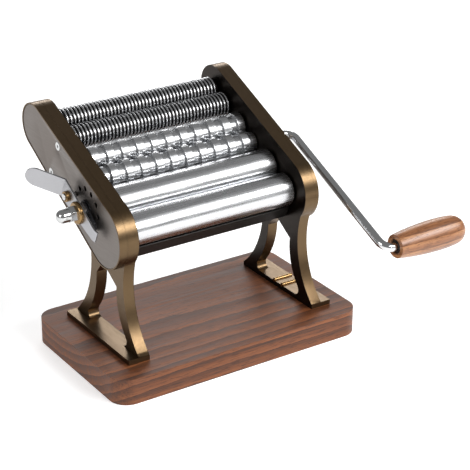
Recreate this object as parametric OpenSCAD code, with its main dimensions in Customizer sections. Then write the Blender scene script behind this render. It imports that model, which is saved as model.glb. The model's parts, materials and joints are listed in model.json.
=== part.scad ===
// Hand-cranked pasta roller machine on a wooden base board.
// X runs along the rollers towards the crank, Y to the back and Z up; the origin is the centre
// of the board's underside. The rollers stand in one inclined row between two A-frames.

/* [Base board] */
// Length of the board along the rollers
board_l = 222; // [210:1:280]
// Depth of the board
board_w = 134; // [126:1:180]
// Thickness of the board
board_t = 21; // [16:1:30]
// Radius of the board's corners
board_r = 15; // [10:1:30]
// Offset of the roller assembly from the board's middle
machine_x = 2; // [-6:0.5:6]

/* [Frames] */
// Free width between the two frames
gap_w = 150; // [120:1:185]
// Thickness of each A-frame
frame_t = 9.5; // [9:0.5:12]
// Width of each foot
foot_w = 18; // [16:0.5:24]
// Thickness of each foot
foot_t = 4; // [3:0.5:6]
// Height of the front smooth roller above the board's underside
front_z = 112; // [108:1:125]
// Distance of the front smooth roller behind the board's middle
front_y = -9; // [-12:1:0]
// Tilt of the roller row
incline = 26.3; // [22:0.1:30]
// Length of the panel between its end centres
panel_l = 118.5; // [118:0.5:126]
// Radius of the panel's front end
panel_front_r = 26; // [26:0.5:30]
// Radius of the panel's rear end
panel_rear_r = 19; // [18:0.5:24]
// Wall left around the pockets and covers
rim_t = 2.6; // [2:0.1:3]

/* [Housings and covers] */
// Depth of the left housing
left_housing_t = 6.8; // [6:0.1:10]
// Depth of the right housing
right_housing_t = 3.6; // [3.4:0.1:8]
// Thickness of the cover plates
cover_t = 1.2; // [1:0.1:2]

/* [Smooth rollers] */
// Diameter of each smooth roller
smooth_d = 26.5; // [22:0.1:26.5]
// Module of the smooth rollers' gears
smooth_m = 1.5; // [1.5]
// Teeth on each smooth gear
smooth_teeth = 18; // [18]
// Radius of the smooth rollers' journals
smooth_journal_r = 5; // [4.5:0.1:6]

/* [Wide cutters] */
// Place of the first wide cutter along the row
wide_u = 53.8; // [53.8:0.1:54.5]
// Ring diameter of the wide cutters
wide_d = 21.4; // [20.6:0.1:22]
// Pitch of the wide rings
wide_pitch = 13.4; // [10:0.1:18]
// Teeth on each wide cutter gear, module 1
wide_teeth = 20; // [20]

/* [Fine cutters] */
// Place of the first fine cutter along the row
fine_u = 99; // [97:0.1:99]
// Ring diameter of the fine cutters
fine_d = 20.2; // [19.6:0.1:20.6]
// Pitch of the fine rings
fine_pitch = 3.25; // [2.6:0.05:4]
// Teeth on each fine cutter gear, module 1
fine_teeth = 19; // [19]
// Radius of the cutters' journals
cutter_journal_r = 4.6; // [4.6:0.1:5]

/* [Crank] */
// Throw of the crank
crank_r = 139.5; // [100:0.5:150]
// Radius of the crank rod
rod_r = 3.6; // [3:0.1:3.8]
// Turn of the crank from the line of the row
crank_turn = 3; // [0:1:30]
// Clearance between the turning arm and the end of the board
arm_gap = 0.5; // [0.3:0.1:12]
// Bend radius of the rod's centre line
rod_bend = 9; // [8:1:14]
// Length of the wooden grip
grip_l = 65; // [50:1:80]
// Largest radius of the grip
grip_r = 12.8; // [11:0.1:16]

/* [Thickness adjuster] */
// Radius of the ring of index holes
index_r = 17.5; // [16:0.5:20]
// Angle between index holes
index_step = 30; // [30]
// Steps of the adjuster
index_steps = 5; // [3:1:5]
// Opening travel of the front smooth roller over all steps
open_travel = 2.4; // [1.2:0.1:2.6]
// Length of the thumb tab
tab_l = 31; // [20:1:40]
// Thickness of the lever strip
strip_t = 1.4; // [1.2:0.1:2]

/* [Hidden] */
$fn = 96;

// Clearances and shared small sizes
run_fit = 0.05;            // running clearance on a radius
slide_fit = 0.12;          // clearance beside a sliding face
seat_fit = 0.02;           // radial gap where a fixed piece seats
safe_gap = 0.4;            // least gap between bodies that pass each other
end_gap = 0.9;             // gap from a roller's end to the frame
inner = gap_w / 2;         // inner face of a frame, from the machine's middle
wall_t = 4;                // frame wall left behind each pocket
pocket_x = inner + wall_t;
plate_x = inner + frame_t;
left_rim_x = plate_x + left_housing_t;
right_rim_x = plate_x + right_housing_t;
cover_inset = 0.4;         // how far a cover lies below its rim
left_cover_x = left_rim_x - cover_inset - cover_t;
right_cover_x = right_rim_x - cover_inset - cover_t;

// The roller row: distances u along the row from the front smooth roller
smooth_u = smooth_m * smooth_teeth;
wide_step = wide_teeth;
fine_step = fine_teeth;
row_u = [0, smooth_u, wide_u, wide_u + wide_step, fine_u, fine_u + fine_step];
roller_half = inner - end_gap;
socket_r = rod_r + 0.1;
socket_depth = 8;
socket_end_x = right_rim_x + 3.5;    // outer end of the journals that take the crank
plain_end_x = pocket_x + 6.6;        // outer end of the other journals
left_end_x = -(pocket_x - 0.4);      // left end of the journals in fixed bushes
bush_t = 1.6;

wide_ring_w = wide_pitch / 2 - 0.3;
wide_groove_r = wide_step - wide_d / 2 - 0.9;
wide_shoulder_r = wide_step - wide_d / 2 - 0.2;
fine_ring_w = fine_pitch / 2 - 0.15;
fine_groove_r = fine_step - fine_d / 2 - 0.5;
fine_shoulder_r = fine_groove_r + 0.1;
comb_bar = [4, 3];         // section of a comb's bar
comb_tooth_t = 2;

// Gears
gear_x = pocket_x + 2;
gear_w = 4.6;
pressure_angle = 20;
backlash = 0.16;
web_depth = 0.6;           // depth of the groove turned in a gear's face
web_lip = 2;               // width of the raised ring round a gear's bore

// Roller carriage
flange_t = 1.5;
boss_r = 7.6;
tenon_u = [-7, 5];
tenon_v = [-19.9, -10];
bar_u = [-11, 7];
bar_v = [-21, -10];
bar_clear = 1.2;           // gap between the bar's hollow and the roller
bar_thread = 9;            // depth of the screw holes in the bar's ends
scraper_u = [-3, 7];       // the fixed bar behind it, from the rear smooth roller
flange_r = 11.5;
flange_u = [-8, 6];        // the flange's foot beside the tenon
pad_face_u = 19.4;         // face of the left block that the cam pushes
pad_half = 4.5;
block_front_u = -13;       // front end of the left block's thick part
block_out_x = pocket_x + 8;  // outer face of that part
bar_screw = [-1, -17.3];
spring_r = 1.7;
spring_wire = 0.4;
spring_turns = 6;
spring_bore_r = 2.4;
spring_bore_l = 6;
spring_x = (pocket_x + flange_t + block_out_x) / 2;

// Adjuster, outwards from the left cover (all distances from the machine's middle)
cam_x = pocket_x + flange_t + 0.9;
cam_t = 3.6;
shaft_r = 3;
shaft_seat_r = 4.5;
bush_x = left_cover_x - 2.2;
bush_out_r = 7;
bush_end_x = left_rim_x + 0.5;
backing_x = bush_end_x + 0.3;
backing_t = 1.6;
nut_x = backing_x + backing_t + seat_fit;
nut_t = 2.6;
strip_x = nut_x + nut_t + seat_fit;
collar_x = strip_x + strip_t + seat_fit;
collar_t = 3.2;
collar_out_r = 8.8;
acorn_x = collar_x + collar_t + seat_fit;
acorn_l = 15.5;
acorn_flats = 11.2;
lever_bend_r = 27;
lever_tail_r = 22;
lever_tip_l = 4.5;
tab_angle = 45;
tip_angle = 14;
lever_half = 8.9;          // half the width of the strip at the bend
pin_r = 1.8;
pin_head_r = 2.6;
index_bush_t = 3;
index_bush_floor = 0.8;    // what the counterbore for the pin's head leaves
pin_push = 1.2;
open_angle = index_step * index_steps;

// Legs, in the frame's own plane (y to the back, z up)
foot_front_y = -47;
foot_rear_y = 50;
leg_front = [-93.6, 74.2, 68];  // centre y, z and radius of the front leg's outer curve
leg_rear = [99.3, 82.7, 76.5];
open_front = [-65, 66, 50];     // the same for the curves inside the A
open_rear = [80, 74, 65];
open_corner_r = 5;
open_apex = [5, 84];
open_shoulder = 71.3;           // height at which the inner curves turn towards the apex
leg_front_top = 25;             // angles at which the outer curves run into the panel
leg_rear_top = 21.3;
leg_top = [[-16, 0], [-12, -18], [3, -23], [30, -19]];  // in the row, clear of every bore
leg_step = 0.3;                 // how far the legs lie behind the panel's outer face
arc_steps = 24;
foot_top = board_t + foot_t;

// Crank and grip
hub_r = 8;
hub_l = 11;
hub_step = socket_end_x - right_rim_x - 0.8;
hub_screw_z = 7;
// The arm passes the end of the board, and its bend starts beyond the hub
arm_x = max(board_l / 2 - machine_x + rod_r + arm_gap, right_rim_x + 0.8 + hub_l + rod_bend + 0.3);
grip_x = arm_x + rod_bend + 0.8;
grip_belly = 0.62;
grip_recess = 1.5;
collar_r = 6;
collar_l = 10;
grip_cup = 5;
grip_screw_r = 5.2;
rod_end_x = grip_x + grip_l - grip_cup + 0.5;

// Screws and cross members
screw_r = 2.5;
screw_head_r = 4.8;
screw_head_t = 3;
screw_fit = 0.15;
small_screw_r = 1.5;
small_head_r = 3.4;
small_head_t = 1;
small_socket_r = 1.2;
cover_screw_l = [5, 4];    // lengths in the left and right covers
cover_boss_r = 5;
cover_lap = 1.3;           // width of the ledge a cover lies on
tie_head_r = 2.6;
tie_head_t = 1.2;
tie_thread = 9;            // depth of the threads in a tie rod's ends
tie_places = [[40, -15], [86, -14]];
tie_r = 4;
cover_screw_places = [[82, 14.2], [82, -14.2]];
foot_screw_y = [-36, 39];
guide_bar_y = [-5, 6];
guide_bar_r = 1.8;

// ---- Helpers -----------------------------------------------------------------------------

// Stand a shape drawn in the row's plane (x along the row, y square to it) at distance x
module on_row(x, u = 0, v = 0) {
    translate([machine_x + x, front_y, front_z]) rotate([incline, 0, 0]) rotate([90, 0, 90])
        translate([u, v, 0]) children();
}

// Stand a shape drawn in plain y and z at distance x
module on_side(x) {
    translate([machine_x + x, 0, 0]) rotate([90, 0, 90]) children();
}

module panel_outline(inset = 0) {
    hull() {
        circle(r = panel_front_r - inset, $fn = 160);
        translate([panel_l, 0]) circle(r = panel_rear_r - inset, $fn = 160);
    }
}

module panel_slab(x, t, inset = 0) {
    on_row(x) linear_extrude(t) panel_outline(inset);
}

function involute(base_r, a) =
    base_r * [cos(a) + a * PI / 180 * sin(a), sin(a) - a * PI / 180 * cos(a)];

function roll_angle(base_r, r) = sqrt(max(0, pow(r / base_r, 2) - 1)) * 180 / PI;

function turned(p, a) = [p.x * cos(a) - p.y * sin(a), p.x * sin(a) + p.y * cos(a)];

// One tooth's outline, centred on angle zero
function tooth(m, teeth) =
    let (pitch_r = m * teeth / 2, base_r = pitch_r * cos(pressure_angle),
        root_r = pitch_r - 1.25 * m, tip_r = pitch_r + m,
        pitch_roll = roll_angle(base_r, pitch_r),
        pitch_turn = pitch_roll - atan(pitch_roll * PI / 180),
        half = 90 / teeth - backlash / 2 / pitch_r * 180 / PI + pitch_turn,
        start = roll_angle(base_r, max(base_r, root_r)), stop = roll_angle(base_r, tip_r),
        flank = [for (i = [0:4]) involute(base_r, start + (stop - start) * i / 4)])
    concat([root_r * [cos(-half), sin(-half)]],
        [for (p = flank) turned(p, -half)],
        [for (i = [4:-1:0]) turned([flank[i].x, -flank[i].y], half)],
        [root_r * [cos(half), sin(half)]]);

module gear_outline(m, teeth) {
    polygon([for (k = [0:teeth - 1], p = tooth(m, teeth)) turned(p, k * 360 / teeth)]);
}

// A spur gear on a journal; second gears of a pair are turned so that the teeth mesh
module gear(place, m, teeth, bore_r, second = false) {
    web_r = m * teeth / 2 - 1.25 * m - 1;
    on_row(gear_x, row_u[place]) difference() {
        rotate(second ? 180 + 180 / teeth : 0) linear_extrude(gear_w) gear_outline(m, teeth);
        translate([0, 0, -1]) cylinder(r = bore_r + seat_fit, h = gear_w + 2);
        translate([0, 0, gear_w - web_depth]) difference() {
            cylinder(r = web_r, h = 1);
            translate([0, 0, -1]) cylinder(r = bore_r + web_lip, h = 3);
        }
    }
}

function is_driven(place) = place == 1 || place == 2 || place == 4;

// A roller turned about the row axis from a list of [x, radius] steps, with its journals
module turned_roller(place, steps, journal_r) {
    left = place == 0 ? -(pocket_x + flange_t - 0.3) : left_end_x;
    right = is_driven(place) ? socket_end_x : plain_end_x;
    outline = concat([[0, left]], [[journal_r, left]], [[journal_r, -roller_half]],
        [for (s = steps) [s[1], s[0]]],
        [[journal_r, roller_half]], [[journal_r, right]], [[0, right]]);
    on_row(0, row_u[place]) difference() {
        rotate_extrude() polygon(outline);
        if (is_driven(place))
            translate([0, 0, right - socket_depth]) cylinder(r = socket_r, h = socket_depth + 1);
    }
}

// Steps of a ringed cutter: each ring stands from x to x + ring_w
function ring_steps(starts, ring_w, ring_r, groove_r, step_w, step_r) =
    concat([[-roller_half, groove_r]],
        [for (x = starts) for (s = [[x - step_w, groove_r], [x - step_w, step_r], [x, step_r],
            [x, ring_r], [x + ring_w, ring_r], [x + ring_w, step_r],
            [x + ring_w + step_w, step_r], [x + ring_w + step_w, groove_r]]) s],
        [[roller_half, groove_r]]);

// One cutter of a pair has a ring more than the other, so that their rings and grooves interleave
function ring_count(pitch, more) = floor(2 * roller_half / pitch) - 1 + more;
function ring_start(pitch, more, i) = (i - (ring_count(pitch, more) - 1) / 2) * pitch;
function ring_starts(pitch, more) = [for (i = [0:ring_count(pitch, more) - 1]) ring_start(pitch, more, i)];

module wide_cutter(place, more) {
    turned_roller(place, ring_steps(ring_starts(wide_pitch, more), wide_ring_w, wide_d / 2,
        wide_groove_r, 0.5, wide_shoulder_r), cutter_journal_r);
}

module fine_cutter(place, more) {
    turned_roller(place, ring_steps(ring_starts(fine_pitch, more), fine_ring_w, fine_d / 2,
        fine_groove_r, 0.06, fine_shoulder_r), cutter_journal_r);
}

module smooth_roller(place) {
    edge = 0.8;
    turned_roller(place, [[-roller_half, smooth_d / 2 - edge], [-roller_half + edge, smooth_d / 2],
        [roller_half - edge, smooth_d / 2], [roller_half, smooth_d / 2 - edge]], smooth_journal_r);
}

// A countersunk screw along +Z with its head's flat face at z = 0
module flat_screw(r, head_r, head_t, length, socket) {
    difference() {
        union() {
            translate([0, 0, -length]) cylinder(r = r, h = length);
            translate([0, 0, -head_t]) cylinder(r1 = r, r2 = head_r, h = head_t);
        }
        translate([0, 0, -socket]) cylinder(r = socket, h = socket + 1, $fn = 6);
    }
}

module flat_screw_hole(r, head_r, head_t, length) {
    translate([0, 0, -length]) cylinder(r = r + screw_fit, h = length + 1);
    translate([0, 0, -head_t]) cylinder(r1 = r + screw_fit, r2 = head_r + screw_fit, h = head_t);
}

// ---- Base board ----------------------------------------------------------------------------

// Middle of the foot's flange, outside the frame plate
function flange_x(side) = machine_x + side * (inner + (frame_t + foot_w) / 2);

module board_screw_places() {
    for (side = [-1, 1], y = foot_screw_y) translate([flange_x(side), y, 0]) children();
}

module base_board() color("#5f3a24") difference() {
    hull() for (x = [-1, 1], y = [-1, 1])
        translate([x * (board_l / 2 - board_r), y * (board_w / 2 - board_r), 0])
            cylinder(r = board_r, h = board_t);
    board_screw_places() {
        translate([0, 0, -1]) cylinder(r = screw_r + screw_fit, h = board_t + 2);
        translate([0, 0, -1]) cylinder(r = screw_head_r + safe_gap, h = screw_head_t + 2);
    }
}

module board_screws() color("#8a8a8c") board_screw_places() difference() {
    union() {
        translate([0, 0, 1]) cylinder(r = screw_head_r, h = screw_head_t);
        translate([0, 0, 1]) cylinder(r = screw_r, h = board_t + foot_t - 2);
    }
    cylinder(r = screw_r * 0.8, h = 1 + screw_head_t / 2, $fn = 6);
}

// ---- Frames --------------------------------------------------------------------------------

// A place along and square to the row, as y and z
function side_place(p) = [front_y, front_z] + turned(p, incline);

// Points along an arc given as [centre y, centre z, radius], from one angle to another
function arc(c, from, to) = [for (i = [0:arc_steps]) let (a = from + (to - from) * i / arc_steps)
    [c.x + c.z * cos(a), c.y + c.z * sin(a)]];

module leg_outline() {
    difference() {
        polygon(concat([[foot_rear_y, board_t], [foot_front_y, board_t], [foot_front_y, foot_top]],
            arc(leg_front, asin((foot_top - leg_front.y) / leg_front.z), leg_front_top),
            [for (p = leg_top) side_place(p)],
            arc(leg_rear, 180 - leg_rear_top, 180 - asin((foot_top - leg_rear.y) / leg_rear.z)),
            [[foot_rear_y, foot_top]]));
        leg_opening();
    }
}

// The opening's two sides run down in fillets to the foot
module leg_opening() {
    corner_z = foot_top + open_corner_r;
    front_turn = -asin((open_front.y - corner_z) / (open_front.z + open_corner_r));
    rear_turn = asin((open_rear.y - corner_z) / (open_rear.z + open_corner_r));
    front_corner = [open_front.x + (open_front.z + open_corner_r) * cos(front_turn), corner_z,
        open_corner_r];
    rear_corner = [open_rear.x - (open_rear.z + open_corner_r) * cos(rear_turn), corner_z,
        open_corner_r];
    polygon(concat([open_apex],
        arc(open_rear, 180 - asin((open_shoulder - open_rear.y) / open_rear.z), 180 + rear_turn),
        arc(rear_corner, rear_turn, -90),
        arc(front_corner, 270, 180 + front_turn),
        arc(open_front, front_turn, asin((open_shoulder - open_front.y) / open_front.z))));
}

// Opening in the frame's wall for the carriage's boss and tenon, with its travel
module carriage_window(h) {
    r = boss_r + slide_fit;
    linear_extrude(h) polygon(concat(arc([0, 0, r], -90, 90), arc([-open_travel, 0, r], 90, 270)));
    translate([tenon_u[0] - open_travel - slide_fit, tenon_v[0] - slide_fit, 0])
        cube([tenon_u[1] - tenon_u[0] + open_travel + 2 * slide_fit, -tenon_v[0] + slide_fit, h]);
}

module frame(side) {
    plate_low = side > 0 ? inner : -plate_x;
    leg_low = side > 0 ? inner : -plate_x + leg_step;
    pocket_low = side > 0 ? pocket_x : -plate_x - 1;
    wall_low = side > 0 ? inner - 1 : -pocket_x - 1;
    foot_low = side > 0 ? inner : -inner - foot_w;
    difference() {
        union() {
            panel_slab(plate_low, frame_t);
            on_side(leg_low) linear_extrude(frame_t - leg_step) leg_outline();
            translate([machine_x + foot_low, foot_front_y, board_t])
                cube([foot_w, foot_rear_y - foot_front_y, foot_t]);
        }
        panel_slab(pocket_low, frame_t - wall_t + 1, rim_t);
        on_row(wall_low) carriage_window(wall_t + 2);
        for (i = [1:5]) on_row(wall_low, row_u[i])
            cylinder(r = journal_r(i) + bush_t + seat_fit, h = wall_t + 2);
        for (p = tie_places) on_row(wall_low, p[0], p[1])
            cylinder(r = small_screw_r + screw_fit, h = wall_t + 2);
        for (y = foot_screw_y) translate([flange_x(side), y, board_t - 1])
            cylinder(r = screw_r + screw_fit, h = foot_t + 0.4);
    }
}

function journal_r(place) = place < 2 ? smooth_journal_r : cutter_journal_r;

module left_frame() color("#6b5236") frame(-1);

module right_frame() color("#7d6a54") difference() {
    frame(1);
    for (y = guide_bar_y) translate([machine_x + inner - 1, y, foot_top])
        rotate([0, 90, 0]) cylinder(r = guide_bar_r + seat_fit, h = foot_w + 2);
}

module clamp_guide_bars() color("#b89a66") for (y = guide_bar_y)
    translate([machine_x + inner + 0.2, y, foot_top])
        rotate([0, 90, 0]) cylinder(r = guide_bar_r, h = foot_w - 0.4);

// ---- Housings and covers -------------------------------------------------------------------

module housing(low_x, t, rebate_low) {
    difference() {
        panel_slab(low_x, t);
        difference() {
            panel_slab(low_x - 1, t + 2, rim_t);
            for (p = cover_screw_places) on_row(low_x - 2, p[0], p[1]) cylinder(r = cover_boss_r, h = t + 4);
        }
        panel_slab(rebate_low, cover_t + cover_inset + 1, rim_t - cover_lap);
        for (p = cover_screw_places) on_row(low_x - 1, p[0], p[1])
            cylinder(r = small_screw_r + screw_fit, h = t + 2);
    }
}

module left_housing() color("#6b5236")
    housing(-left_rim_x, left_housing_t, -left_rim_x - 1);

module right_housing() color("#7d6a54")
    housing(plate_x, right_housing_t, right_cover_x);

module left_cover() color("#8d8680") difference() {
    panel_slab(-left_cover_x - cover_t, cover_t, rim_t - cover_lap + slide_fit);
    for (p = cover_screw_places) on_row(-left_cover_x - cover_t, p[0], p[1])
        mirror([0, 0, 1]) flat_screw_hole(small_screw_r, small_head_r, small_head_t, 6);
    on_row(-left_cover_x - cover_t - 1, smooth_u) cylinder(r = bush_out_r + seat_fit, h = cover_t + 2);
    for (i = [0:index_steps]) on_row(-left_cover_x - cover_t - 1, smooth_u) rotate(i * index_step)
        translate([index_r, 0, 0]) cylinder(r = pin_r + 0.3, h = cover_t + 2);
}

module right_cover() color("#8d8680") difference() {
    panel_slab(right_cover_x, cover_t, rim_t - cover_lap + slide_fit);
    for (p = cover_screw_places) on_row(right_cover_x + cover_t, p[0], p[1])
        flat_screw_hole(small_screw_r, small_head_r, small_head_t, 6);
    for (i = [1, 2, 4]) on_row(right_cover_x - 1, row_u[i])
        cylinder(r = journal_r(i) + safe_gap, h = cover_t + 2);
}

module left_cover_screws() color("#c9cbcc") for (p = cover_screw_places)
    on_row(-left_cover_x - cover_t - seat_fit, p[0], p[1])
        mirror([0, 0, 1])
            flat_screw(small_screw_r, small_head_r, small_head_t, cover_screw_l[0], small_socket_r);

module right_cover_screws() color("#c9cbcc") for (p = cover_screw_places)
    on_row(right_cover_x + cover_t + seat_fit, p[0], p[1])
        flat_screw(small_screw_r, small_head_r, small_head_t, cover_screw_l[1], small_socket_r);

// ---- Cross members -------------------------------------------------------------------------

module tie_rods() color("#3a3430") for (p = tie_places) on_row(-inner + seat_fit, p[0], p[1])
    difference() {
        cylinder(r = tie_r, h = 2 * inner - 2 * seat_fit);
        for (z = [-1, 2 * inner - tie_thread]) translate([0, 0, z])
            cylinder(r = small_screw_r + screw_fit, h = tie_thread + 1);
    }

module tie_rod_screws() color("#8a8a8c") for (p = tie_places) {
    on_row(pocket_x + seat_fit, p[0], p[1]) {
        translate([0, 0, -wall_t - 6]) cylinder(r = small_screw_r, h = wall_t + 6);
        cylinder(r = tie_head_r, h = tie_head_t);
    }
    on_row(-pocket_x - seat_fit, p[0], p[1]) {
        cylinder(r = small_screw_r, h = wall_t + 6);
        translate([0, 0, -tie_head_t]) cylinder(r = tie_head_r, h = tie_head_t);
    }
}

module bushes(x) for (i = [1:5]) on_row(x, row_u[i]) difference() {
    cylinder(r = journal_r(i) + bush_t, h = wall_t);
    translate([0, 0, -1]) cylinder(r = journal_r(i) + run_fit, h = wall_t + 2);
}

module left_bushes() color("#a9854f") bushes(-pocket_x);

module right_bushes() color("#a9854f") bushes(inner);

module rear_scraper() color("#1f1e1e") on_row(-inner + seat_fit, smooth_u) difference() {
    translate([scraper_u[0], bar_v[0], 0])
        cube([scraper_u[1] - scraper_u[0], bar_v[1] - bar_v[0], 2 * inner - 2 * seat_fit]);
    translate([0, 0, -1]) cylinder(r = smooth_d / 2 + bar_clear, h = 2 * inner + 2);
}

// A toothed bar under a cutter; each tooth stands in a groove between two rings
module comb(place, more, pitch, ring_w, ring_r, groove_r) {
    tooth_gap = (pitch - ring_w) * 0.22;
    on_row(0, row_u[place]) {
        translate([-comb_bar.x / 2, -ring_r - 1 - comb_bar.y, -inner + seat_fit])
            cube([comb_bar.x, comb_bar.y, 2 * inner - 2 * seat_fit]);
        for (i = [0:ring_count(pitch, more) - 2])
            translate([-comb_tooth_t / 2, -ring_r - 1.5,
                ring_start(pitch, more, i) + ring_w + tooth_gap])
                cube([comb_tooth_t, ring_r + 1.5 - safe_gap - groove_r, pitch - ring_w - 2 * tooth_gap]);
    }
}

module wide_combs() color("#b9bbbd") for (k = [0, 1])
    comb(2 + k, k, wide_pitch, wide_ring_w, wide_d / 2, wide_shoulder_r);

module fine_combs() color("#b9bbbd") for (k = [0, 1])
    comb(4 + k, 1 - k, fine_pitch, fine_ring_w, fine_d / 2, fine_shoulder_r);

// ---- Roller carriage -----------------------------------------------------------------------

// Flange in the pocket, with the boss and tenon that pass through the wall to the bar
module bearing_block(side) {
    out_x = pocket_x + flange_t;
    low = side > 0 ? inner - safe_gap + seat_fit : -out_x;
    depth = out_x - inner + safe_gap - seat_fit;
    difference() {
        union() {
            on_row(side > 0 ? pocket_x + slide_fit : -out_x) linear_extrude(flange_t - slide_fit) {
                circle(r = flange_r);
                translate([flange_u[0], tenon_v[0]]) square([flange_u[1] - flange_u[0], -tenon_v[0]]);
            }
            on_row(low) cylinder(r = boss_r, h = depth);
            on_row(low) translate([tenon_u[0], tenon_v[0], 0])
                cube([tenon_u[1] - tenon_u[0], tenon_v[1] - tenon_v[0], depth]);
            if (side < 0) on_row(-block_out_x) translate([block_front_u, -pad_half, 0])
                cube([pad_face_u - block_front_u, 2 * pad_half, block_out_x - out_x + 0.5]);
        }
        on_row(side > 0 ? low - 1 : -out_x - 0.5)
            cylinder(r = smooth_journal_r + run_fit, h = depth + 2);
        on_row(low - 1, bar_screw.x, bar_screw.y)
            cylinder(r = small_screw_r + screw_fit, h = depth + 2);
        if (side < 0) on_row(-spring_x) translate([block_front_u - 1, 0, 0]) rotate([0, 90, 0])
            cylinder(r = spring_bore_r, h = spring_bore_l + 1);
    }
}

module left_bearing_block() color("#9a9c9e") bearing_block(-1);

module right_bearing_block() color("#9a9c9e") bearing_block(1);

module carriage_bar() color("#161616") on_row(-inner + safe_gap) difference() {
    length = 2 * inner - 2 * safe_gap;
    translate([bar_u[0], bar_v[0], 0]) cube([bar_u[1] - bar_u[0], bar_v[1] - bar_v[0], length]);
    translate([0, 0, -1]) cylinder(r = smooth_d / 2 + bar_clear, h = length + 2);
    for (z = [-1, length - bar_thread]) translate([bar_screw.x, bar_screw.y, z])
        cylinder(r = small_screw_r + screw_fit, h = bar_thread + 1);
}

module carriage_bar_screws() color("#8a8a8c") for (x = [inner - 7, -pocket_x - flange_t])
    on_row(x, bar_screw.x, bar_screw.y) cylinder(r = small_screw_r, h = pocket_x + flange_t - inner + 7);

// A coil along the row from one place to another, as a tube swept round a helix
module coil(from_u, to_u, r, wire, turns) {
    rings = turns * 12;
    sides = 6;
    points = [for (i = [0:rings]) let (a = i * 30, u = from_u + (to_u - from_u) * i / rings)
        for (k = [0:sides - 1]) let (b = k * 360 / sides, reach = r + wire * cos(b))
            [u + wire * sin(b), reach * cos(a), reach * sin(a)]];
    walls = [for (i = [0:rings - 1], k = [0:sides - 1]) let (n = (k + 1) % sides)
        [i * sides + k, i * sides + n, (i + 1) * sides + n, (i + 1) * sides + k]];
    ends = [[for (k = [sides - 1:-1:0]) k], [for (k = [0:sides - 1]) rings * sides + k]];
    polyhedron(points, concat(walls, ends), convexity = 10);
}

module carriage_spring() color("#a5a7a9") on_row(-spring_x)
    coil(-panel_front_r + rim_t + 0.6, block_front_u + spring_bore_l - open_travel - 0.8,
        spring_r, spring_wire, spring_turns);

// ---- Thickness adjuster, on the rear smooth roller's axis ------------------------------------

module adjuster_bush() color("#3c3a38") on_row(-bush_end_x, smooth_u) difference() {
    union() {
        cylinder(r = bush_out_r, h = bush_end_x - bush_x);
        cylinder(r = bush_out_r + 1.5, h = bush_end_x - left_cover_x - cover_t - seat_fit);
    }
    translate([0, 0, -1]) cylinder(r = shaft_seat_r + run_fit, h = bush_end_x);
}

module adjuster_shaft() color("#8f9193") on_row(0, smooth_u) {
    translate([0, 0, -backing_x + seat_fit]) cylinder(r = shaft_seat_r, h = backing_x - cam_x);
    translate([0, 0, -acorn_x - 7]) cylinder(r = shaft_r, h = acorn_x + 7 - cam_x);
}

// Its radius grows evenly with the lever's turn, so the carriage moves in even steps
module adjuster_cam() color("#a58a52") on_row(-cam_x - cam_t, smooth_u) difference() {
    low_r = smooth_u - pad_face_u - 0.15;
    spare = 360 - open_angle - 10;
    linear_extrude(cam_t) polygon([for (a = [0:5:355])
        let (grow = a <= open_angle + 10 ? a / open_angle
            : (open_angle + 10) / open_angle * (360 - a) / spare)
        turned([-(low_r + open_travel * grow), 0], -a)]);
    translate([0, 0, -1]) cylinder(r = shaft_seat_r + seat_fit, h = cam_t + 2);
}

module stacked_on_shaft(x, t) {
    on_row(-x - t, smooth_u) difference() {
        children();
        translate([0, 0, -1]) cylinder(r = shaft_r + seat_fit, h = t + 2);
    }
}

module lever_backing_bar() color("#4b4c4e") stacked_on_shaft(backing_x, backing_t)
    hull() {
        cylinder(r = 7.2, h = backing_t, $fn = 48);
        translate([-14.6, 0, 0]) cylinder(r = 5, h = backing_t, $fn = 48);
    }

module lock_nut() color("#c4c6c8") stacked_on_shaft(nut_x, nut_t) cylinder(r = 7.5, h = nut_t, $fn = 6);

module lever_collar() color("#b08a55") stacked_on_shaft(collar_x, collar_t) {
    cylinder(r1 = collar_out_r - 0.8, r2 = collar_out_r, h = 1);
    translate([0, 0, 1]) cylinder(r = collar_out_r, h = collar_t - 1);
}

module acorn_nut() color("#d7d9db") on_row(-acorn_x - acorn_l, smooth_u) difference() {
    cap_r = acorn_flats / 2 - 0.3;
    union() {
        translate([0, 0, cap_r]) sphere(r = cap_r);
        translate([0, 0, cap_r]) cylinder(r = cap_r, h = acorn_l - cap_r - 1);
        translate([0, 0, acorn_l - 5.5]) cylinder(r = acorn_flats / 2 / cos(30), h = 5.5, $fn = 6);
    }
    translate([0, 0, acorn_l - 8]) cylinder(r = shaft_r + seat_fit, h = 9);
}

// A bent strip: the thumb tab stands out at one end and the tip bends back at the other
module adjuster_lever() color("#a9abad") on_row(-strip_x - strip_t, smooth_u) difference() {
    union() {
        hull() for (p = [[-lever_tail_r, 5.4], [lever_bend_r, lever_half]])
            translate([p[0] - 0.05, -p[1], 0]) cube([0.1, 2 * p[1], strip_t]);
        translate([lever_bend_r, 0, strip_t * 0.3]) rotate([0, tab_angle, 0]) hull() {
            translate([-0.2, -lever_half, 0]) cube([1, 2 * lever_half, strip_t]);
            translate([tab_l - lever_half, 0, 0]) cylinder(r = lever_half, h = strip_t, $fn = 64);
        }
        translate([-lever_tail_r, 0, 0]) rotate([0, tip_angle, 0])
            translate([-lever_tip_l, -5, 0]) cube([lever_tip_l + 0.2, 10, strip_t]);
    }
    translate([0, 0, -1]) cylinder(r = shaft_r + seat_fit, h = strip_t + 2);
    translate([index_r, 0, -1]) cylinder(r = pin_r + run_fit + 0.05, h = strip_t + 2);
}

module index_bush() color("#b08a55") on_row(-strip_x - strip_t - index_bush_t, smooth_u)
    translate([index_r, 0, 0]) difference() {
        cylinder(r = pin_head_r + 1.6, h = index_bush_t - seat_fit);
        translate([0, 0, -1]) cylinder(r = pin_head_r + safe_gap / 2, h = index_bush_t - index_bush_floor + 1);
        cylinder(r = pin_r + run_fit, h = index_bush_t + 1);
    }

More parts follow.
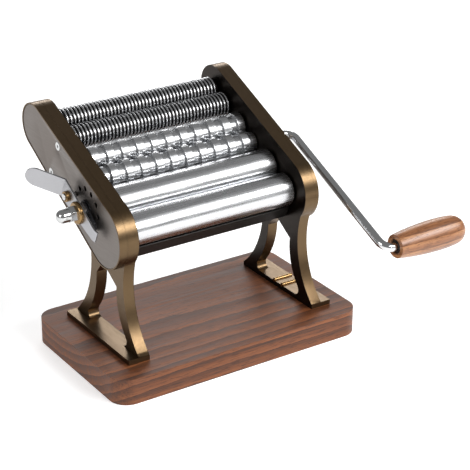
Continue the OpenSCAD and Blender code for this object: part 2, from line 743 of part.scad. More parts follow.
// Drawn just clear of the cover; it moves in by pin_push to seat in an index hole
module index_pin() color("#d7d9db") on_row(0, smooth_u) translate([index_r, 0, 0]) {
    tip_x = left_cover_x + cover_t + 0.15;
    head_x = strip_x + strip_t + index_bush_floor + pin_push + 0.1;
    translate([0, 0, -head_x - 0.5]) cylinder(r = pin_r, h = head_x + 0.5 - tip_x);
    translate([0, 0, -head_x - 2]) cylinder(r = pin_head_r, h = 2);
}

// ---- Rollers and gears ---------------------------------------------------------------------

module front_smooth_roller() color("#d9dbdd") smooth_roller(0);
module rear_smooth_roller() color("#d9dbdd") smooth_roller(1);
module front_wide_cutter() color("#cfd1d3") wide_cutter(2, 0);
module rear_wide_cutter() color("#cfd1d3") wide_cutter(3, 1);
module front_fine_cutter() color("#cfd1d3") fine_cutter(4, 1);
module rear_fine_cutter() color("#cfd1d3") fine_cutter(5, 0);

module front_smooth_gear() color("#8a8c8f") gear(0, smooth_m, smooth_teeth, smooth_journal_r);
module rear_smooth_gear() color("#8a8c8f") gear(1, smooth_m, smooth_teeth, smooth_journal_r, true);
module front_wide_gear() color("#8a8c8f") gear(2, 1, wide_teeth, cutter_journal_r);
module rear_wide_gear() color("#8a8c8f") gear(3, 1, wide_teeth, cutter_journal_r, true);
module front_fine_gear() color("#8a8c8f") gear(4, 1, fine_teeth, cutter_journal_r);
module rear_fine_gear() color("#8a8c8f") gear(5, 1, fine_teeth, cutter_journal_r, true);

// ---- Crank and grip, on the first wide cutter -------------------------------------------------

module crank_hub() color("#bfc1c3") on_row(right_rim_x + 0.8, wide_u) difference() {
    cylinder(r = hub_r, h = hub_l);
    translate([0, 0, -1]) cylinder(r = cutter_journal_r + seat_fit, h = hub_step + 1);
    translate([0, 0, -1]) cylinder(r = rod_r + seat_fit, h = hub_l + 2);
    translate([0, 0, hub_screw_z]) rotate([-90, 0, 0]) cylinder(r = small_screw_r + 0.1, h = hub_r + 1);
}

module hub_screw() color("#4a4a4c") on_row(right_rim_x + 0.8 + hub_screw_z, wide_u)
    rotate([-90, 0, 0]) translate([0, 0, rod_r + 0.1]) difference() {
        cylinder(r = small_screw_r, h = hub_r - rod_r - 0.3);
        translate([0, 0, hub_r - rod_r - 1.5]) cylinder(r = 0.8, h = 2, $fn = 6);
    }

// The crank's arm turned about its axis, with x along the arm's line
module on_crank(x) {
    on_row(0, wide_u) rotate(-crank_turn) translate([0, 0, x]) children();
}

module rod_bend_piece(start) {
    rotate([90, 0, 0]) rotate(start) rotate_extrude(angle = 90) translate([rod_bend, 0]) circle(r = rod_r);
}

module crank_rod() color("#dfe1e3") on_crank(0) difference() {
    rod_start = socket_end_x - socket_depth + 0.4;
    union() {
        translate([0, 0, rod_start]) cylinder(r = rod_r, h = arm_x - rod_bend - rod_start);
        translate([-rod_bend, 0, arm_x - rod_bend]) rod_bend_piece(0);
        translate([-rod_bend, 0, arm_x]) rotate([0, -90, 0]) cylinder(r = rod_r, h = crank_r - 2 * rod_bend);
        translate([rod_bend - crank_r, 0, arm_x + rod_bend]) rod_bend_piece(180);
        translate([-crank_r, 0, arm_x + rod_bend]) cylinder(r = rod_r, h = rod_end_x - arm_x - rod_bend);
    }
    translate([-crank_r, 0, rod_end_x - 10]) cylinder(r = small_screw_r + 0.1, h = 11);
}

// Radius of the grip at a share t of its length
function grip_radius(t) = grip_r - (t < grip_belly ? 3.2 * pow(1 - t / grip_belly, 2)
    : 2.4 * pow((t - grip_belly) / (1 - grip_belly), 2.4));

module grip() color("#9a6840") on_crank(grip_x) translate([-crank_r, 0, 0]) difference() {
    round_l = 2.2;
    rotate_extrude() polygon(concat([[0, 0]], [for (i = [0:20]) [grip_radius(i / 20) -
        (i == 20 ? round_l : i == 19 ? 0.5 : 0), grip_l * i / 20]], [[0, grip_l]]));
    translate([0, 0, -1]) cylinder(r = rod_r + 0.35, h = grip_l + 2);
    translate([0, 0, -1]) cylinder(r = collar_r + seat_fit, h = collar_l + grip_recess + 1);
    translate([0, 0, grip_l - grip_cup]) cylinder(r = grip_screw_r + safe_gap, h = grip_cup + 1);
}

module grip_collar() color("#2a1c14") on_crank(grip_x + grip_recess) translate([-crank_r, 0, 0])
    difference() {
        cylinder(r = collar_r, h = collar_l - seat_fit);
        translate([0, 0, -1]) cylinder(r = rod_r + run_fit, h = collar_l + 2);
    }

module grip_screw() color("#c9cbcc") on_crank(rod_end_x) translate([-crank_r, 0, 0]) {
    translate([0, 0, seat_fit]) difference() {
        cylinder(r = grip_screw_r, h = 2.4);
        translate([0, 0, 1]) cylinder(r = 1.5, h = 2, $fn = 6);
    }
    translate([0, 0, -9]) cylinder(r = small_screw_r, h = 9 + 2 * seat_fit);
}

base_board();
board_screws();
left_frame();
right_frame();
left_housing();
right_housing();
left_cover();
right_cover();
left_cover_screws();
right_cover_screws();
tie_rods();
tie_rod_screws();
left_bushes();
right_bushes();
rear_scraper();
wide_combs();
fine_combs();
clamp_guide_bars();
adjuster_bush();
carriage_spring();
left_bearing_block();
right_bearing_block();
carriage_bar();
carriage_bar_screws();
adjuster_shaft();
adjuster_cam();
lever_backing_bar();
lock_nut();
adjuster_lever();
index_bush();
lever_collar();
acorn_nut();
index_pin();
front_smooth_roller();
front_smooth_gear();
rear_smooth_roller();
rear_smooth_gear();
front_wide_cutter();
front_wide_gear();
rear_wide_cutter();
rear_wide_gear();
front_fine_cutter();
front_fine_gear();
rear_fine_cutter();
rear_fine_gear();
crank_hub();
crank_rod();
hub_screw();
grip_collar();
grip();
grip_screw();
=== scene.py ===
import bpy, bmesh, json, math
from mathutils import Matrix, Vector


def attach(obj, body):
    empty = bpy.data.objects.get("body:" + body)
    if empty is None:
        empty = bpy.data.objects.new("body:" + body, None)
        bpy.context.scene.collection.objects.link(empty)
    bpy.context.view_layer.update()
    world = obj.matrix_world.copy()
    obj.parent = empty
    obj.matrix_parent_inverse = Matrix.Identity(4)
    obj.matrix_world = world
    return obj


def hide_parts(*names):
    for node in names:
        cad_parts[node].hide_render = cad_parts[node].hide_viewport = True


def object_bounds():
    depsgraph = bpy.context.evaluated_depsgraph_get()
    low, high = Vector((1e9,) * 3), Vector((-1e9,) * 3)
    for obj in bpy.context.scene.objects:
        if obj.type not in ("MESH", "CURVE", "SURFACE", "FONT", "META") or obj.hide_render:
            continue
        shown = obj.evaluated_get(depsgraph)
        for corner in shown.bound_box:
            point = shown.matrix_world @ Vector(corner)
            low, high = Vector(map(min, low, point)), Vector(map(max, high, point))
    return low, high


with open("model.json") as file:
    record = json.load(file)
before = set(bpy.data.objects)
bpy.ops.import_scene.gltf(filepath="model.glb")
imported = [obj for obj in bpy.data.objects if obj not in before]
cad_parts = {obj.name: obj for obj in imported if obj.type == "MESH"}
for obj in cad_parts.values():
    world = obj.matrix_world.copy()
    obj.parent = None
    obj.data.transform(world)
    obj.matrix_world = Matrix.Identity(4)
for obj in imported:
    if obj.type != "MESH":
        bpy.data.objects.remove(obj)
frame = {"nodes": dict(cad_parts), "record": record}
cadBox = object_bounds()
nodes = frame["nodes"]
record = frame["record"]
bodyOf = {node: body for body, names in record["behaviour"]["bodies"].items() for node in names}
slotOf = {part["node"]: part["material_slot"] for part in record["subparts"]}
print("frame loaded")

# The tilted row of rollers: u runs along it from the front smooth roller, v stands square to it
row = {"x": 0.002, "y": -0.009, "z": 0.112, "tilt": 26.3}
places = {"front_smooth": 0, "rear_smooth": 0.027, "front_wide": 0.0538, "rear_wide": 0.0738,
          "front_fine": 0.099, "rear_fine": 0.118}


# Turns a shape drawn about the Z axis into one about the row's X axis at distance u along the row
def onRow(u=0.0, x=0.0):
    return (Matrix.Translation((row["x"] + x, row["y"], row["z"]))
            @ Matrix.Rotation(math.radians(row["tilt"]), 4, "X")
            @ Matrix(((0, 0, 1, 0), (1, 0, 0, u), (0, 1, 0, 0), (0, 0, 0, 1))))


# Camera, light and floor; the camera looks along -Z, turned first about Z
camera = {"place": (-0.61564, -0.97337, 0.62220), "turn": -33.745, "down": 24.908, "roll": 0.375,
          "lens": 125.0, "sensor": 36, "farthest": 20}


def makeCamera():
    cam = bpy.data.objects.new("camera", bpy.data.cameras.new("camera"))
    cam.data.lens = camera["lens"]
    cam.data.sensor_width = camera["sensor"]
    cam.data.clip_end = camera["farthest"]
    cam.matrix_world = (Matrix.Translation(camera["place"])
                        @ Matrix.Rotation(math.radians(camera["turn"]), 4, "Z")
                        @ Matrix.Rotation(math.radians(90 - camera["down"]), 4, "X")
                        @ Matrix.Rotation(math.radians(camera["roll"]), 4, "Z"))
    bpy.context.collection.objects.link(cam)
    bpy.context.scene.camera = cam


lights = {
    "front": {"place": (0.66, -0.88, 0.86), "aim": (0, 0, 0.1), "size": (1.3, 0.42), "power": 20},
    "back": {"place": (0.62, 1.3, 0.72), "aim": (0, 0, 0.1), "size": (1.5, 0.3), "power": 9},
    "left": {"place": (-1.5, -0.5, 0.9), "aim": (0, 0, 0.1), "size": (0.7, 0.7), "power": 9},
}
studio = {"ambient": 0.24, "floor": 0.9, "glow": 0.5, "rough": 0.9, "size": 3, "below": 0.0001}
white = (1, 1, 1, 1)


def makeLights():
    for name, setting in lights.items():
        lamp = bpy.data.objects.new("light_" + name, bpy.data.lights.new("light_" + name, "AREA"))
        lamp.data.shape = "RECTANGLE"
        lamp.data.size, lamp.data.size_y = setting["size"]
        lamp.data.energy = setting["power"]
        lamp.location = setting["place"]
        aim = Vector(setting["aim"]) - Vector(setting["place"])
        lamp.rotation_euler = aim.to_track_quat("-Z", "Y").to_euler()
        bpy.context.collection.objects.link(lamp)
    world = bpy.data.worlds.new("studio")
    bpy.context.scene.world = world
    world.use_nodes = True
    tree = world.node_tree
    room = tree.nodes["Background"]
    room.inputs["Color"].default_value = white
    room.inputs["Strength"].default_value = studio["ambient"]
    backdrop = tree.nodes.new("ShaderNodeBackground")
    backdrop.inputs["Color"].default_value = white
    mix = tree.nodes.new("ShaderNodeMixShader")
    path = tree.nodes.new("ShaderNodeLightPath")
    tree.links.new(path.outputs["Is Camera Ray"], mix.inputs[0])
    tree.links.new(room.outputs[0], mix.inputs[1])
    tree.links.new(backdrop.outputs[0], mix.inputs[2])
    tree.links.new(mix.outputs[0], tree.nodes["World Output"].inputs["Surface"])
    bpy.context.scene.view_settings.view_transform = "Standard"


def makeFloor():
    bm = bmesh.new()
    bmesh.ops.create_grid(bm, x_segments=1, y_segments=1, size=studio["size"])
    bmesh.ops.translate(bm, verts=bm.verts, vec=(0, 0, cadBox[0][2] - studio["below"]))
    floor = addPiece(bm, "floor")
    mat, tree, shader = newMaterial("floor_white")
    shader.inputs["Base Color"].default_value = (studio["floor"],) * 3 + (1,)
    shader.inputs["Roughness"].default_value = studio["rough"]
    shader.inputs["Emission Color"].default_value = white
    shader.inputs["Emission Strength"].default_value = studio["glow"]
    floor.data.materials.append(mat)


# Small helpers
def addPiece(bm, name):
    mesh = bpy.data.meshes.new(name)
    bm.to_mesh(mesh)
    bm.free()
    piece = bpy.data.objects.new(name, mesh)
    bpy.context.collection.objects.link(piece)
    return piece


# A detailed piece that stands for a CAD node and moves with its body
def standFor(piece, node):
    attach(piece, bodyOf[node])
    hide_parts(node)
    piece.data.materials.append(finishes[slotOf[node]])
    return piece


# Smooth faces, with edges sharper than the angle kept crisp
def smooth(piece, angle=30):
    piece.data.shade_smooth()
    piece.data.set_sharp_from_angle(angle=math.radians(angle))


def roundEdges(piece, width, segments, angle):
    bevel = piece.modifiers.new("edges", "BEVEL")
    bevel.width = width
    bevel.segments = segments
    bevel.limit_method = "ANGLE"
    bevel.angle_limit = math.radians(angle)
    bevel.use_clamp_overlap = True
    bevel.harden_normals = True


# A copy of a CAD node whose edges are slightly rounded, as machined and finished edges are
def softEdges(node, width, segments=2, angle=35):
    bm = bmesh.new()
    bm.from_mesh(nodes[node].data)
    bmesh.ops.remove_doubles(bm, verts=bm.verts, dist=1e-6)
    bmesh.ops.dissolve_limit(bm, angle_limit=math.radians(0.6), verts=bm.verts, edges=bm.edges)
    piece = addPiece(bm, node + "_finished")
    roundEdges(piece, width, segments, angle)
    smooth(piece, angle)
    return standFor(piece, node)


# Materials
def tone(code):
    parts = [int(code[i:i + 2], 16) / 255 for i in (1, 3, 5)]
    return [c / 12.92 if c <= 0.04045 else ((c + 0.055) / 1.055) ** 2.4 for c in parts] + [1]


def newMaterial(name):
    mat = bpy.data.materials.new(name)
    mat.use_nodes = True
    return mat, mat.node_tree, mat.node_tree.nodes["Principled BSDF"]


def addNode(tree, kind, inputs=None, **settings):
    node = tree.nodes.new("ShaderNode" + kind)
    for key, value in settings.items():
        setattr(node, key, value)
    for key, value in (inputs or {}).items():
        if isinstance(value, bpy.types.NodeSocket):
            tree.links.new(value, node.inputs[key])
        else:
            node.inputs[key].default_value = value
    return node


# Object coordinates, stretched so that a noise has that many spots to the metre along each axis
def spots(tree, scale):
    coords = addNode(tree, "TexCoord")
    return addNode(tree, "Mapping", {"Vector": coords.outputs["Object"], "Scale": scale}).outputs["Vector"]


def noise(tree, vector, detail=3.0, rough=0.55):
    return addNode(tree, "TexNoise", {"Vector": vector, "Scale": 1.0, "Detail": detail,
                                      "Roughness": rough}).outputs["Fac"]


def ramp(tree, value, stops):
    node = addNode(tree, "ValToRGB", {"Fac": value})
    while len(node.color_ramp.elements) < len(stops):
        node.color_ramp.elements.new(0.5)
    for element, (place, colour) in zip(node.color_ramp.elements, stops):
        element.position = place
        element.color = colour
    return node.outputs["Color"]


def mixColours(tree, mode, amount, a, b):
    node = addNode(tree, "Mix", data_type="RGBA", blend_type=mode)
    for socket, value in ((0, amount), (6, a), (7, b)):
        if isinstance(value, bpy.types.NodeSocket):
            tree.links.new(value, node.inputs[socket])
        else:
            node.inputs[socket].default_value = value
    return node.outputs[2]


def span(tree, value, low, high):
    return addNode(tree, "MapRange", {"Value": value, "From Min": 0.3, "From Max": 0.7, "To Min": low,
                                      "To Max": high}).outputs["Result"]


def bump(tree, shader, height, strength, distance):
    node = addNode(tree, "Bump", {"Height": height, "Strength": strength, "Distance": distance})
    tree.links.new(node.outputs["Normal"], shader.inputs["Normal"])


# Rough spreads about its value by the grain; depth is the height of the bump in metres
metals = {
    "frame_bronze": {"colour": "#69563f", "rough": 0.33, "spread": 0.05,
        "grain": (900, 90, 900), "depth": 0.00001,
        "inside": "#2a241f", "insideFrom": 0.0751},
    "cover_plate": {"colour": "#7d7671", "rough": 0.38, "spread": 0.06,
        "grain": (400, 60, 1400), "depth": 0.00001},
    # roller_metal's floor colour is painted shade deep in the fine cutters' grooves, faded out towards the
    # ring tops
    "roller_metal": {"colour": "#d9dadc", "rough": 0.27, "spread": 0.05,
        "grain": (30, 700, 700), "depth": 0,
        "grooves": ("front_fine", "rear_fine"), "floor": "#4c4a49", "grooveShadeTo": (0.0086, 0.0096)},
    "gear_steel": {"colour": "#8c8f92", "rough": 0.38, "spread": 0.08,
        "grain": (900, 900, 900), "depth": 0.00002},
    "bronze_metal": {"colour": "#987a52", "rough": 0.26, "spread": 0.08,
        "grain": (900, 900, 900), "depth": 0.00001},
    "fastener_steel": {"colour": "#d5d6d6", "rough": 0.16, "spread": 0.06,
        "grain": (700, 700, 700), "depth": 0.000006},
    "dark_steel": {"colour": "#56565a", "rough": 0.30, "spread": 0.08,
        "grain": (800, 800, 800), "depth": 0.00001},
    "block_steel": {"colour": "#9a9c9e", "rough": 0.35, "spread": 0.08,
        "grain": (800, 800, 800), "depth": 0.00001},
    "lever_steel": {"colour": "#b9b9bc", "rough": 0.44, "spread": 0.05,
        "grain": (500, 500, 1500), "depth": 0.00001},
    "crank_steel": {"colour": "#d9dadb", "rough": 0.14, "spread": 0.05,
        "grain": (300, 300, 300), "depth": 0.000004},
}
plains = {
    "bar_black": {"colour": "#141312", "rough": 0.35, "grain": 1500, "depth": 0.00002},
    "collar_dark": {"colour": "#23160f", "rough": 0.5, "grain": 1200, "depth": 0.00003},
}
# Growth rings stand around a pith line that runs along X; all sizes in metres
woods = {
    "board_wood": {"light": "#96582e", "mid": "#683818", "dark": "#30180b", "pith": (0, 0.03, 0.14),
                   "ring": 0.0034, "wobble": 0.006, "rough": 0.52, "coat": 0.0},
    "grip_wood": {"light": "#c18c5f", "mid": "#96623c", "dark": "#5c3620", "pith": (0, -0.13, -0.02),
                  "ring": 0.0032, "wobble": 0.003, "rough": 0.34, "coat": 0.25},
}


# Painted shade: darkens what lies deep between the rings, by its distance from the nearest cutter's axis
def paintGrooveShade(tree, setting, tint):
    place = addNode(tree, "TexCoord").outputs["Object"]
    flat = addNode(tree, "VectorMath", {0: place, 1: (0, 1, 1)}, operation="MULTIPLY").outputs[0]
    nearest = None
    for name in setting["grooves"]:
        axis = onRow(places[name]).translation
        away = addNode(tree, "VectorMath", {0: flat, 1: (0, axis.y, axis.z)}, operation="DISTANCE")
        away = away.outputs["Value"]
        if nearest is None:
            nearest = away
        else:
            nearest = addNode(tree, "Math", {0: nearest, 1: away}, operation="MINIMUM").outputs[0]
    low, high = setting["grooveShadeTo"]
    ringShare = addNode(tree, "MapRange", {"Value": nearest, "From Min": low, "From Max": high})
    ringShare = ringShare.outputs["Result"]
    return mixColours(tree, "MIX", ringShare, tone(setting["floor"]), tint)


insideFade = 0.0003


def makeMetal(name, setting):
    mat, tree, shader = newMaterial(name)
    colour = tone(setting["colour"])
    fine = noise(tree, spots(tree, setting["grain"]))
    cloud = noise(tree, spots(tree, (18, 18, 18)))
    darker = [c * 0.86 for c in colour[:3]] + [1]
    tint = mixColours(tree, "MIX", cloud, darker, colour)
    if "insideFrom" in setting:
        # The faces towards the rollers, nearer than insideFrom to the machine's middle at row["x"], take
        # the dark inside colour
        place = addNode(tree, "TexCoord").outputs["Object"]
        across = addNode(tree, "SeparateXYZ", {"Vector": place}).outputs["X"]
        across = addNode(tree, "Math", {0: across, 1: row["x"]}, operation="SUBTRACT").outputs[0]
        across = addNode(tree, "Math", {0: across}, operation="ABSOLUTE").outputs[0]
        edge = {"Value": across, "From Min": setting["insideFrom"],
                "From Max": setting["insideFrom"] + insideFade}
        outside = addNode(tree, "MapRange", edge).outputs["Result"]
        tint = mixColours(tree, "MIX", outside, tone(setting["inside"]), tint)
    # Painted shade between the fine cutters' rings
    if "grooves" in setting:
        tint = paintGrooveShade(tree, setting, tint)
    tree.links.new(tint, shader.inputs["Base Color"])
    shader.inputs["Metallic"].default_value = 1.0
    rough = span(tree, fine, setting["rough"] - setting["spread"], setting["rough"] + setting["spread"])
    tree.links.new(rough, shader.inputs["Roughness"])
    if setting["depth"]:
        bump(tree, shader, fine, 0.5, setting["depth"])
    return mat


def makePlain(name, setting):
    mat, tree, shader = newMaterial(name)
    colour = tone(setting["colour"])
    grain = noise(tree, spots(tree, (setting["grain"],) * 3))
    lighter = [min(1, c * 1.5) for c in colour[:3]] + [1]
    tree.links.new(mixColours(tree, "MIX", grain, colour, lighter), shader.inputs["Base Color"])
    shader.inputs["Roughness"].default_value = setting["rough"]
    bump(tree, shader, grain, 0.6, setting["depth"])
    return mat


def makeWood(name, setting):
    mat, tree, shader = newMaterial(name)
    # Slow waves bend the grain along the board
    slow = addNode(tree, "TexNoise", {"Vector": spots(tree, (5, 22, 22)), "Scale": 1.0, "Detail": 2.0})
    bend = addNode(tree, "VectorMath", {0: slow.outputs["Color"], 1: (0.5, 0.5, 0.5)}, operation="SUBTRACT")
    bend = addNode(tree, "VectorMath", {0: bend.outputs[0], 3: setting["wobble"]}, operation="SCALE")
    coords = addNode(tree, "TexCoord")
    place = coords.outputs["Object"]
    moved = addNode(tree, "VectorMath", {0: place, 1: setting["pith"]}, operation="SUBTRACT")
    moved = addNode(tree, "VectorMath", {0: moved.outputs[0], 1: bend.outputs[0]}, operation="ADD")
    rings = addNode(tree, "TexWave", {"Vector": moved.outputs[0], "Scale": 0.3142 / setting["ring"] / 2,
                                      "Distortion": 0.8, "Detail": 3.0, "Detail Scale": 1.4,
                                      "Detail Roughness": 0.6}, wave_type="RINGS", rings_direction="X",
                    wave_profile="SAW")
    streak = noise(tree, spots(tree, (7, 330, 330)), 5.0, 0.7)
    blend = addNode(tree, "Mix", {2: rings.outputs["Fac"], 3: streak}, data_type="FLOAT")
    blend.inputs[0].default_value = 0.68
    base = ramp(tree, blend.outputs[0], [(0.22, tone(setting["dark"])), (0.50, tone(setting["mid"])),
                                         (0.80, tone(setting["light"]))])
    patch = noise(tree, spots(tree, (4, 14, 14)), 2.0)
    base = mixColours(tree, "MULTIPLY", 0.35, base, ramp(tree, patch, [(0.3, (0.55, 0.5, 0.47, 1)),
                                                                      (0.7, (1, 1, 1, 1))]))
    # Long fine pores cut through the grain
    pore = noise(tree, spots(tree, (110, 1500, 1500)), 2.0)
    pores = ramp(tree, pore, [(0.36, (0.35, 0.30, 0.27, 1)), (0.45, (1, 1, 1, 1))])
    base = mixColours(tree, "MULTIPLY", 0.75, base, pores)
    tree.links.new(base, shader.inputs["Base Color"])
    rough = span(tree, streak, setting["rough"] - 0.06, setting["rough"] + 0.1)
    tree.links.new(rough, shader.inputs["Roughness"])
    shader.inputs["Coat Weight"].default_value = setting["coat"]
    shader.inputs["Coat Roughness"].default_value = 0.3
    bump(tree, shader, pore, 0.5, 0.00006)
    return mat


finishes = {}


def makeFinishes():
    for name, setting in metals.items():
        finishes[name] = makeMetal(name, setting)
    for name, setting in plains.items():
        finishes[name] = makePlain(name, setting)
    for name, setting in woods.items():
        finishes[name] = makeWood(name, setting)
    for node, obj in nodes.items():
        for slot in obj.material_slots:
            slot.material = finishes[slotOf[node]]
    print("finishes made")


# Pieces
softened = {
    "base_board": (0.0016, 3), "left_frame": (0.0005, 2), "right_frame": (0.0005, 2),
    "left_housing": (0.0004, 2), "right_housing": (0.0004, 2), "left_cover": (0.00025, 1),
    "right_cover": (0.00025, 1), "lever_backing_bar": (0.0004, 2), "lock_nut": (0.0003, 2),
    "lever_collar": (0.0004, 3), "adjuster_bush": (0.0003, 1), "adjuster_shaft": (0.0002, 1),
    "adjuster_cam": (0.0002, 1), "index_bush": (0.0003, 2), "index_pin": (0.0004, 2),
    "acorn_nut": (0.0004, 3), "left_bearing_block": (0.0003, 1), "right_bearing_block": (0.0003, 1),
    "carriage_bar": (0.0006, 2), "carriage_bar_screws": (0.0002, 1), "rear_scraper": (0.0004, 1),
    "wide_combs": (0.0001, 1), "tie_rods": (0.0003, 1), "tie_rod_screws": (0.0003, 1),
    "left_bushes": (0.0003, 1), "right_bushes": (0.0003, 1), "clamp_guide_bars": (0.0003, 1),
    "left_cover_screws": (0.00015, 1), "right_cover_screws": (0.00015, 1), "board_screws": (0.0003, 1),
    "crank_hub": (0.0006, 2), "crank_rod": (0.0004, 2), "hub_screw": (0.0002, 1),
    "grip": (0.0005, 2), "grip_collar": (0.0004, 2), "grip_screw": (0.0003, 2),
}


def softenNodes():
    for node, (width, segments) in softened.items():
        softEdges(node, width, segments)
    print("edges softened on", len(softened), "pieces")


# Turns an outline of [distance along the roller, radius] about the roller's axis
def turned(name, outline, u, steps=96):
    bm = bmesh.new()
    edges = []
    points = [bm.verts.new((radius, 0, along)) for along, radius in outline]
    for a, b in zip(points, points[1:]):
        edges.append(bm.edges.new((a, b)))
    bmesh.ops.spin(bm, geom=points + edges, cent=(0, 0, 0), axis=(0, 0, 1), angle=math.tau, steps=steps,
                   use_merge=True)
    bmesh.ops.remove_doubles(bm, verts=bm.verts, dist=1e-6)
    bmesh.ops.recalc_face_normals(bm, faces=bm.faces)
    bmesh.ops.transform(bm, matrix=onRow(u), verts=bm.verts)
    piece = addPiece(bm, name)
    smooth(piece, 28)
    return piece


rollers = {"half": 0.0741, "leftEnd": -0.0786, "carriageEnd": -0.0802, "plainEnd": 0.0856,
           "socketEnd": 0.0916, "socket": 0.0037, "socketDepth": 0.008, "edge": 0.0005}


# Journals and ends shared by all rollers; body is the outline between the roller's two ends
def rollerOutline(body, journal, driven, leftEnd):
    half, edge = rollers["half"], rollers["edge"]
    right = rollers["socketEnd"] if driven else rollers["plainEnd"]
    start = [(leftEnd, 0), (leftEnd, journal - edge), (leftEnd + edge, journal), (-half, journal)]
    if driven:
        floor = right - rollers["socketDepth"]
        end = [(half, journal), (right - edge, journal), (right, journal - edge),
               (right, rollers["socket"] + edge), (right - edge, rollers["socket"]),
               (floor, rollers["socket"]), (floor, 0)]
    else:
        end = [(half, journal), (right - edge, journal), (right, journal - edge), (right, 0)]
    return start + body + end


smoothRollers = {"radius": 0.01325, "chamfer": 0.0008, "journal": 0.005}


def makeSmoothRollers():
    half, radius, chamfer = rollers["half"], smoothRollers["radius"], smoothRollers["chamfer"]
    body = [(-half, radius - chamfer), (-half + chamfer, radius), (half - chamfer, radius),
            (half, radius - chamfer)]
    for name, driven, leftEnd in (("front_smooth", False, rollers["carriageEnd"]),
                                  ("rear_smooth", True, rollers["leftEnd"])):
        outline = rollerOutline(body, smoothRollers["journal"], driven, leftEnd)
        standFor(turned(name + "_turned", outline, places[name]), name + "_roller")
    print("smooth rollers turned")


wideCutters = {"radius": 0.0107, "ring": 0.0064, "pitch": 0.0134, "floor": 0.0084, "shoulder": 0.0091,
               "chamfer": 0.00025, "journal": 0.0046, "front": 10, "rear": 11,
               "line": 0.00012, "lines": (0.0021, 0.0036)}
fineCutters = {"radius": 0.0101, "ring": 0.001475, "pitch": 0.00325, "floor": 0.0084, "journal": 0.0046,
               "front": 45, "rear": 44, "roundness": 0.8, "steps": 64}


def ringStarts(count, pitch):
    return [(i - (count - 1) / 2) * pitch for i in range(count)]


def makeWideCutters():
    c = wideCutters
    for name, count, driven in (("front_wide", c["front"], True), ("rear_wide", c["rear"], False)):
        body = [(-rollers["half"], c["floor"])]
        for start in ringStarts(count, c["pitch"]):
            stop = start + c["ring"]
            body += [(start - 0.0005, c["floor"]), (start - 0.0005, c["shoulder"]), (start, c["shoulder"]),
                     (start, c["radius"] - c["chamfer"]), (start + c["chamfer"], c["radius"]),
                     (stop - c["chamfer"], c["radius"]), (stop, c["radius"] - c["chamfer"])]
            if stop + c["lines"][1] + 0.001 > rollers["half"]:
                body += [(stop, c["floor"])]
                continue
            body += [(stop, c["shoulder"]), (stop + 0.0005, c["shoulder"]), (stop + 0.0005, c["floor"])]
            # Two fine raised lines run round the floor beside each ring
            for line in c["lines"]:
                body += [(stop + line, c["floor"]), (stop + line + 0.0001, c["floor"] + c["line"]),
                         (stop + line + 0.0004, c["floor"] + c["line"]), (stop + line + 0.0005, c["floor"])]
        body += [(rollers["half"], c["floor"])]
        outline = rollerOutline(body, c["journal"], driven, rollers["leftEnd"])
        standFor(turned(name + "_turned", outline, places[name]), name + "_cutter")
    print("wide cutters turned")


# Each fine ring is rounded across its whole width
def makeFineCutters():
    c = fineCutters
    reach = c["ring"] / 2
    for name, count, driven in (("front_fine", c["front"], True), ("rear_fine", c["rear"], False)):
        body = [(-rollers["half"], c["floor"])]
        for start in ringStarts(count, c["pitch"]):
            body += [(start, c["floor"])]
            for step in range(7):
                turn = math.pi * step / 6
                body += [(start + reach * (1 - math.cos(turn)),
                          c["radius"] - c["roundness"] * reach * (1 - math.sin(turn)))]
            body += [(start + c["ring"], c["floor"])]
        body += [(rollers["half"], c["floor"])]
        outline = rollerOutline(body, c["journal"], driven, rollers["leftEnd"])
        standFor(turned(name + "_turned", outline, places[name], c["steps"]), name + "_cutter")
    print("fine cutters turned")


# The lever's strip: half widths along its length, and the bends at the thumb tab and the tip
lever = {"outer": 0.09774, "thick": 0.0014, "tail": 0.022, "tailHalf": 0.0054, "bendAt": 0.027,
         "half": 0.0089, "tab": 0.031, "tabTurn": 45, "tip": 0.0045, "tipHalf": 0.005, "tipTurn": 14,
         "bendRadius": 0.0022, "blunt": 0.00002}


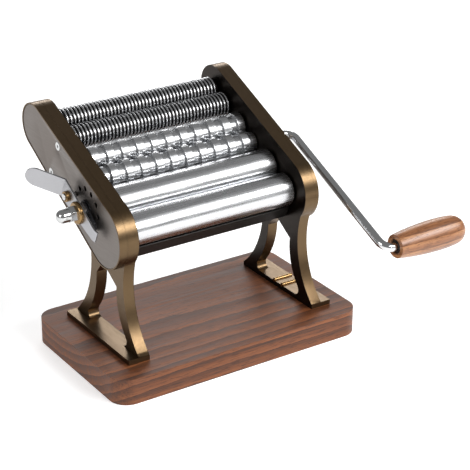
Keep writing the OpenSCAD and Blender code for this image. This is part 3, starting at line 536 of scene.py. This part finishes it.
# A bent sheet, given as [distance along the row, distance outwards, half width] at each station
def makeLever():
    c = lever
    stations = [(-c["tail"] - c["tip"] * math.cos(math.radians(c["tipTurn"])),
                 -c["tip"] * math.sin(math.radians(c["tipTurn"])), c["tipHalf"])]
    for step in range(7):
        stations.append((-c["tail"] + 0.0006 * (step - 3), -0.00001 * (6 - step) ** 1.6,
                         c["tailHalf"] * 0.96))
    for step in range(1, 5):
        share = step / 5
        stations.append((-c["tail"] + (c["tail"] + c["bendAt"] - 0.001) * share, 0,
                         c["tailHalf"] + (c["half"] - c["tailHalf"]) * share))
    turn = math.radians(c["tabTurn"])
    reach = c["bendRadius"] * math.tan(turn / 2)
    for step in range(9):
        a = turn * step / 8
        stations.append((c["bendAt"] - reach + c["bendRadius"] * math.sin(a),
                         c["bendRadius"] * (1 - math.cos(a)), c["half"]))
    straight = c["tab"] - c["half"]
    for step in range(4):
        d = reach + (straight - reach) * (step + 1) / 4
        stations.append((c["bendAt"] + d * math.cos(turn), d * math.sin(turn), c["half"]))
    for step in range(1, 13):
        a = math.pi / 2 * step / 12
        d = straight + c["half"] * math.sin(a)
        stations.append((c["bendAt"] + d * math.cos(turn), d * math.sin(turn),
                         c["half"] * math.cos(a) + c["blunt"]))
    bm = bmesh.new()
    sides = [[bm.verts.new((u, side * half, -out)) for u, out, half in stations] for side in (-1, 1)]
    for i in range(len(stations) - 1):
        bm.faces.new((sides[0][i], sides[0][i + 1], sides[1][i + 1], sides[1][i]))
    bmesh.ops.recalc_face_normals(bm, faces=bm.faces)
    bmesh.ops.solidify(bm, geom=bm.faces[:], thickness=c["thick"])
    bmesh.ops.recalc_face_normals(bm, faces=bm.faces)
    low = min(v.co.z for v in bm.verts if abs(v.co.x) < 0.01)
    bmesh.ops.translate(bm, verts=bm.verts, vec=(0, 0, -low))
    bmesh.ops.transform(bm, matrix=onRow(places["rear_smooth"], -c["outer"]), verts=bm.verts)
    piece = addPiece(bm, "adjuster_lever_bent")
    roundEdges(piece, width=0.0003, segments=2, angle=50)
    smooth(piece, 40)
    standFor(piece, "adjuster_lever")
    print("lever bent")


makeFinishes()
makeCamera()
makeLights()
makeFloor()
softenNodes()
makeSmoothRollers()
makeWideCutters()
makeFineCutters()
makeLever()

print("machine finished")
